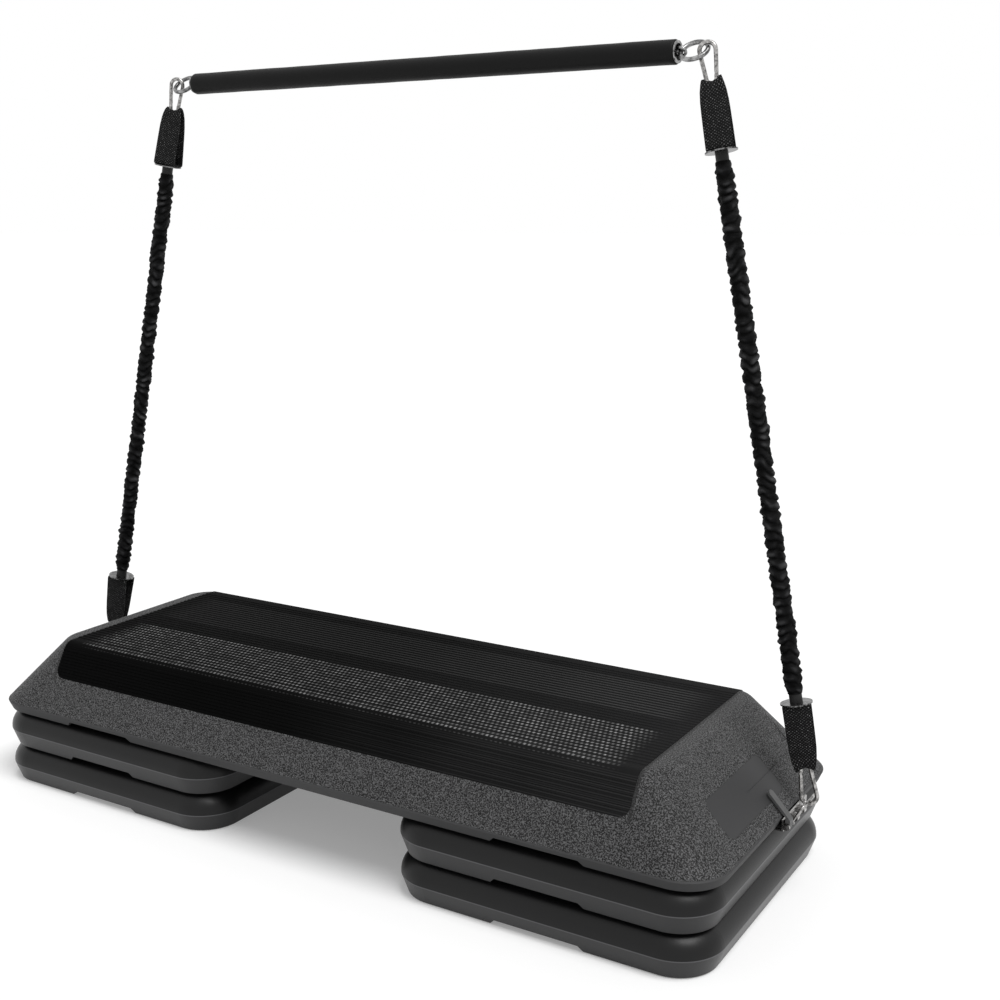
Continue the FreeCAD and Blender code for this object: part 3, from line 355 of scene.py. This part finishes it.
washer_steel = Finish("washer_steel", metallic=1.0)
where = washer_steel.place()
smear_and_painted_reflection = washer_steel.speckle(where, 240, 3, 0.6)
# The dark and bright patches in the base colour are painted reflections.
washer_steel.feed(Base_Color=washer_steel.tint(smear_and_painted_reflection.step(0.35, 0.65), 0.03, 0.22),
                  Roughness=0.18 + 0.2 * smear_and_painted_reflection)
washer_steel.relief(smear_and_painted_reflection, 0.0001, 0.35)
give(washer_steel, *(end + "_washer" for end in strap_ends))

# Snap hooks: pear-shaped loops of nickel-plated wire. The gate leg turns on a rivet at
# the narrow end and shuts against the nose.
for end in strap_ends:
    give(nickel, *(f"{end}_{part}" for part in ("hook", "gate", "rivet")))

# Foam grip: a sleeve of black nitrile foam with a skin on it, pushed over the whole
# tube. It is ground to size, so it is a little uneven, and its ends are cut square.
bar_line = Vector((0, 0.078, 0.961))
grip_half, grip_radius, grip_bore = 0.3614, 0.01395, 0.0111
face_radius, edge_radius = grip_radius - 0.0015, grip_radius - 0.0006
edge_x, body_x, steps = grip_half - 0.0003, grip_half - 0.0015, 180
grip_rows = [(-grip_half, grip_bore), (-grip_half, face_radius), (-edge_x, edge_radius)]
grip_rows += [(-body_x + 2 * body_x * step / steps, grip_radius) for step in range(steps + 1)]
grip_rows += [(edge_x, edge_radius), (grip_half, face_radius), (grip_half, grip_bore)]
grip_mesh = bmesh.new()
bmesh.ops.create_grid(grip_mesh, x_segments=64, y_segments=len(grip_rows) - 1, size=1.0)
for vert in grip_mesh.verts:
    angle, share = vert.co.x * math.pi, (vert.co.y + 1) / 2
    along, radius = grip_rows[round(share * (len(grip_rows) - 1))]
    vert.co = Vector((along, radius * math.cos(angle), radius * math.sin(angle)))
bmesh.ops.remove_doubles(grip_mesh, verts=grip_mesh.verts, dist=0.00001)
for vert in grip_mesh.verts:
    spread = math.hypot(vert.co.y, vert.co.z)
    if spread > grip_radius - 0.001:
        swell = noise.noise(vert.co * 38) * 0.00022 - 0.00012
        vert.co.yz = (Vector((vert.co.y, vert.co.z)) * (1 + swell / spread))
bmesh.ops.translate(grip_mesh, vec=bar_line, verts=grip_mesh.verts)
bmesh.ops.recalc_face_normals(grip_mesh, faces=grip_mesh.faces)


def finished(mesh, name, finish, smooth=True):
    """Turn a bmesh into an object of the scene under a finish."""
    data = bpy.data.meshes.new(name)
    mesh.to_mesh(data)
    mesh.free()
    data.materials.append(finish.material)
    if smooth:
        data.shade_smooth()
    piece = bpy.data.objects.new(name, data)
    bpy.context.scene.collection.objects.link(piece)
    return piece


grip_foam = Finish("grip_foam", Specular_IOR_Level=0.12)
where = grip_foam.place()
x = grip_foam.axes(where)[0]
pores = grip_foam.add("ShaderNodeTexVoronoi", {"feature": "F1"},
                      {"Vector": where, "Scale": 1500.0}, out="Distance")
cloud = grip_foam.speckle(where, 30, 3, 0.5)
cut_end = abs(x).step(grip_half - 0.0008, grip_half - 0.0003)
grip_foam.feed(Base_Color=grip_foam.tint(pores * 0.6 + 0.3 * cloud, 0.004, 0.010),
               Roughness=0.42 + 0.14 * cloud + 0.25 * cut_end)
grip_foam.relief(pores, 0.0001, 0.5)
grip = finished(grip_mesh, "foam_grip", grip_foam)
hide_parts("bar_grip")
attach(grip, "bar")

# Straps: black nylon webbing, folded round the narrow end of each snap hook and shut
# across a steel eyelet. The fold is squeezed into the hook, so its edges hump up.
strap_half_width, strap_half_run = 0.0155, 0.088
strap_rows = (  # share of the run from washer to fold: height, depth, half width, hump, pinch
    (0.00, -0.1181, 0.0000, 0.0152, 0.0, 0.0), (0.08, -0.1181, -0.0090, 0.0154, 0.0, 0.0),
    (0.12, -0.1172, -0.0118, 0.0155, 0.0, 0.0), (0.16, -0.1140, -0.0117, 0.0155, 0.0, 0.0),
    (0.40, -0.0940, -0.0096, 0.0155, 0.0, 0.0), (0.62, -0.0760, -0.0078, 0.0154, 0.0, 0.0),
    (0.78, -0.0640, -0.0066, 0.0151, 0.0003, 0.0), (0.88, -0.0550, -0.0057, 0.0143, 0.0010, 0.2),
    (0.94, -0.0495, -0.0048, 0.0131, 0.0024, 0.5), (0.975, -0.0458, -0.0036, 0.0120, 0.0036, 0.8),
    (1.00, -0.0434, 0.0000, 0.0113, 0.0042, 1.0))


def strap_row(share):
    """The strap's row at a share of its run, read smoothly between the rows above."""
    for low, high in zip(strap_rows, strap_rows[1:]):
        if share <= high[0] or high is strap_rows[-1]:
            part = (share - low[0]) / (high[0] - low[0])
            return [a + (b - a) * part for a, b in zip(low[1:], high[1:])]


def band_place(side):
    """The band's frame at rest, with its origin at the upper hook's arch, and its run."""
    link = bar_line + Vector((side * 0.3981, 0, 0))
    anchor = Vector((side * 0.565, 0.046, 0.119))
    up = (link - anchor).normalized()
    origin = link + up * 0.0085
    twist = math.radians(15)
    turned = Vector((math.cos(twist), math.sin(twist), 0))
    cross = (turned - up * turned.dot(up)).normalized()
    place = Matrix((cross, up.cross(cross), up)).transposed().to_4x4()
    return Matrix.Translation(origin) @ place, (origin - anchor).length


webbing_black = Finish("webbing_black", Specular_IOR_Level=0.12)
weave = webbing_black.cloth_place()
u, v = webbing_black.axes(weave)[:2]
warp_pitch, weft_pitch = 0.0042, 0.0036
warp = (u.repeat(warp_pitch) * math.tau).wave()
weft = (v.repeat(weft_pitch) * math.tau).wave()
fuzz = webbing_black.speckle(weave, 900, 3, 0.7)
lint = webbing_black.speckle(weave, 620, 2, 0.6).step(0.50, 0.66)
knuckle = (warp * weft).step(0.05, 0.7)
cloth = webbing_black.tint(knuckle * (0.3 + fuzz), 0.0035, (0.034, 0.034, 0.035))
cloth = webbing_black.tint(lint * knuckle * fuzz, cloth, 0.42)
webbing_black.feed(Base_Color=cloth, Roughness=0.66 + 0.2 * fuzz)
webbing_black.relief(knuckle + 0.4 * fuzz, 0.0006, 0.9)

across_steps, run_steps = 22, 120
for side, name in ((-1, "left"), (1, "right")):
    place, reach = band_place(side)
    for end in ("upper", "lower"):
        strap = bmesh.new()
        bmesh.ops.create_grid(strap, x_segments=across_steps, y_segments=run_steps, size=1.0,
                              calc_uvs=True)
        lay = strap.loops.layers.uv.verify()
        for face in strap.faces:
            for corner in face.loops:
                corner[lay].uv = (corner.vert.co.x * strap_half_width,
                                  corner.vert.co.y * strap_half_run)
        for vert in strap.verts:
            across_share, run = vert.co.x, vert.co.y
            height, depth, half, hump, pinch = strap_row(1 - abs(run))
            edge_share = min(1, abs(across_share) * 1.25)
            rise = hump * math.sin(edge_share * math.pi / 2) ** 2 * (1 + 0.2 * across_share)
            bow = 0.0010 * (1 - across_share ** 2) * (0.3 + 0.7 * (abs(run) > 0.2)) * (1 - pinch)
            facing = -1 if run < 0 else 1
            ruck_place = Vector((across_share * 3, run * 9, side + (end == "upper")))
            ruck = noise.noise(ruck_place) * 0.0006
            out = -depth + bow * (abs(depth) > 0.003) + ruck * pinch
            vert.co = Vector((across_share * half, facing * out, height + rise + ruck))
        bmesh.ops.remove_doubles(strap, verts=strap.verts, dist=0.00002)
        bmesh.ops.recalc_face_normals(strap, faces=strap.faces)
        strap_place = place
        if end == "lower":
            turn_over = Matrix.Rotation(math.pi, 4, "Y")
            strap_place = place @ Matrix.Translation((0, 0, -reach)) @ turn_over
        bmesh.ops.transform(strap, matrix=strap_place, verts=strap.verts)
        webbing = finished(strap, f"{name}_{end}_strap", webbing_black)
        wall = webbing.modifiers.new("thickness", "SOLIDIFY")
        wall.thickness = 0.0019
        wall.offset = 0
        soften = webbing.modifiers.new("soft_edges", "BEVEL")
        soften.width = 0.0004
        soften.segments = 2
        soften.limit_method = "ANGLE"
        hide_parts(f"{name}_{end}_webbing")
        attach(webbing, "bar" if end == "upper" else "deck")

# Latex tubes: the elastic core of each band, held by a stopper inside each strap. Its
# bare necks show between the washers and the sleeve.
latex_black = Finish("latex_black", Specular_IOR_Level=0.2)
lap = latex_black.cloth_place()
powder = latex_black.speckle(lap, 400, 3, 0.6)
latex_black.feed(Base_Color=latex_black.tint(powder, 0.010, 0.024),
                 Roughness=0.40 + 0.2 * powder)
latex_black.relief(powder, 0.0001, 0.4)

# Sleeves: tubes of thin black nylon, longer than the latex they cover, so the slack
# is gathered in uneven folds that slant round the band. The creases are painted dark as
# painted shade and the crests painted lighter as a painted highlight.
sleeve_black = Finish("sleeve_black", Specular_IOR_Level=0.05)
lap = sleeve_black.cloth_place()
u, v = sleeve_black.axes(lap)[:2]
warp_pitch, weft_pitch = 0.0011, 0.0009
warp = (u.repeat(warp_pitch) * math.tau).wave()
weft = (v.repeat(weft_pitch) * math.tau).wave()
thread = warp * weft * 0.5 + 0.5
wear = sleeve_black.speckle(lap, 700, 3, 0.6)
fold_and_shade = sleeve_black.add("ShaderNodeAttribute", {"attribute_name": "fold_and_shade"}, out="Fac")
cloth = sleeve_black.tint(thread * wear, (0.005, 0.005, 0.0052), (0.020, 0.020, 0.021))
# Painted highlight on the crests and painted shade in the creases, by how high each fold stands.
cloth = sleeve_black.tint((fold_and_shade - 0.70).held() * 2.0, cloth, (0.062, 0.062, 0.064))
sleeve_black.feed(Base_Color=sleeve_black.tint(1 - fold_and_shade.step(0.15, 0.75), cloth, 0.0012),
                  Roughness=0.5 + 0.16 * wear)
sleeve_black.relief(thread + 0.4 * wear, 0.00016, 0.6)


def round_band(top, low, radius, rows, around, place):
    """A tube down a band's frame. A function of angle, distance and length gives its
    radius and how high its folds stand, which the sleeve's finish uses for painted shade in
    the creases and a painted highlight on the crests."""
    half_round = 0.0315
    tube = bmesh.new()
    bmesh.ops.create_grid(tube, x_segments=around, y_segments=rows, size=1.0)
    lay = tube.loops.layers.uv.verify()
    fold_shade_layer = tube.verts.layers.float.new("fold_and_shade")
    length = low - top
    for face in tube.faces:
        for corner in face.loops:
            corner[lay].uv = (corner.vert.co.x * half_round,
                              (corner.vert.co.y + 1) / 2 * length)
    for vert in tube.verts:
        angle, down = vert.co.x * math.pi, (1 - (vert.co.y + 1) / 2) * length
        far, vert[fold_shade_layer] = radius(angle, down, length)
        vert.co = Vector((far * math.cos(angle), far * math.sin(angle), -top - down))
    bmesh.ops.remove_doubles(tube, verts=tube.verts, dist=0.00001)
    bmesh.ops.transform(tube, matrix=place, verts=tube.verts)
    bmesh.ops.recalc_face_normals(tube, faces=tube.faces)
    return tube


def gathers(angle, down, length):
    """The gathered sleeve: slanted folds that start and die out round the band."""
    ring = Vector((math.cos(angle), math.sin(angle), 0))

    def uneven(round_scale, run_scale, shift=(0, 0, 0)):
        place = Vector((ring.x * round_scale, ring.y * round_scale, down * run_scale))
        return noise.noise(place + Vector(shift))

    fold_pitch, end_run = 0.0112, 0.012
    least_radius, snug_radius, fold_height = 0.0078, 0.0085, 0.0030
    drift = uneven(0.8, 26) * 0.0095
    slant = 0.0030 * math.cos(angle - 9 * down) + 0.0022 * math.sin(2 * angle + 31 * down)
    turn = (down + drift + slant) / fold_pitch
    part = (turn - math.floor(turn)) ** 1.35
    crest = math.sin(part * math.pi) ** 0.6
    fold_and_shade = max(0, crest * (0.72 + 0.75 * uneven(1.1, 85, (5, 3, 9))))
    rucked = uneven(1.6, 240) * 0.0011 + uneven(3.4, 520, (2, 7, 1)) * 0.0005
    ends = min(1, down / end_run) * min(1, (length - down) / end_run)
    swell = (fold_height * fold_and_shade + rucked) * (0.15 + 0.85 * ends)
    return max(least_radius, snug_radius - 0.0003 * (1 - ends) + swell), fold_and_shade


core_top, sleeve_top, core_radius, route_steps = 0.1035, 0.1310, 0.0075, 24
for side, name in ((-1, "left"), (1, "right")):
    place, reach = band_place(side)
    core = finished(round_band(core_top, reach - core_top,
                               lambda angle, down, length: (core_radius, 1.0), 60, 28, place),
                    name + "_latex_core", latex_black)
    sleeve = finished(round_band(sleeve_top, reach - sleeve_top, gathers, 760, 40, place),
                      name + "_gathered_sleeve", sleeve_black)
    for piece, node in ((core, name + "_tube"), (sleeve, name + "_sleeve")):
        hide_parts(node)
        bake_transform(piece)

# Studio: a white floor that keeps the soft shadow, a white surround, and one very wide
# lamp high over the right front corner.
floor_mesh = bmesh.new()
bmesh.ops.create_grid(floor_mesh, x_segments=1, y_segments=1, size=40)
floor_white = Finish("floor_white", roughness=0.9, Base_Color=(0.8, 0.8, 0.8),
                     Specular_IOR_Level=0.0)
floor = finished(floor_mesh, "floor", floor_white, smooth=False)
seen = floor_white.add("ShaderNodeLightPath")
paths = [Signal(floor_white, seen.socket.node.outputs[kind])
         for kind in ("Is Camera Ray", "Is Glossy Ray", "Is Transmission Ray")]
direct = paths[0].most(paths[1]).most(paths[2])
glow = floor_white.add("ShaderNodeEmission",
                       values={"Color": (1, 1, 1, 1), "Strength": direct * 0.25})
both = floor_white.add("ShaderNodeAddShader", values={
    0: Signal(floor_white, floor_white.surface.outputs[0]), 1: glow})
floor_white.tree.links.new(both.socket, floor_white.tree.nodes["Material Output"].inputs["Surface"])

surround = bpy.data.worlds.new("surround")
bpy.context.scene.world = surround
surround.use_nodes = True
sky = surround.node_tree
paths = sky.nodes.new("ShaderNodeLightPath").outputs
seen_directly = paths["Is Camera Ray"]
for kind in ("Is Glossy Ray", "Is Transmission Ray"):
    either = sky.nodes.new("ShaderNodeMath")
    either.operation = "MAXIMUM"
    sky.links.new(seen_directly, either.inputs[0])
    sky.links.new(paths[kind], either.inputs[1])
    seen_directly = either.outputs[0]
level = sky.nodes.new("ShaderNodeMapRange")
level.inputs["To Min"].default_value = 0.38
level.inputs["To Max"].default_value = 1.0
sky.links.new(seen_directly, level.inputs["Value"])
sky.links.new(level.outputs[0], sky.nodes["Background"].inputs["Strength"])
sky.nodes["Background"].inputs["Color"].default_value = (1, 1, 1, 1)

wide_sun = bpy.data.lights.new("key", "SUN")
wide_sun.energy = 2.3
wide_sun.angle = math.radians(34)
lamp = bpy.data.objects.new("key", wide_sun)
lamp.location = (0.9, -0.4, 2.0)
lamp.rotation_euler = Vector((0.414, -0.16, 0.896)).to_track_quat("Z", "Y").to_euler()
bpy.context.scene.collection.objects.link(lamp)
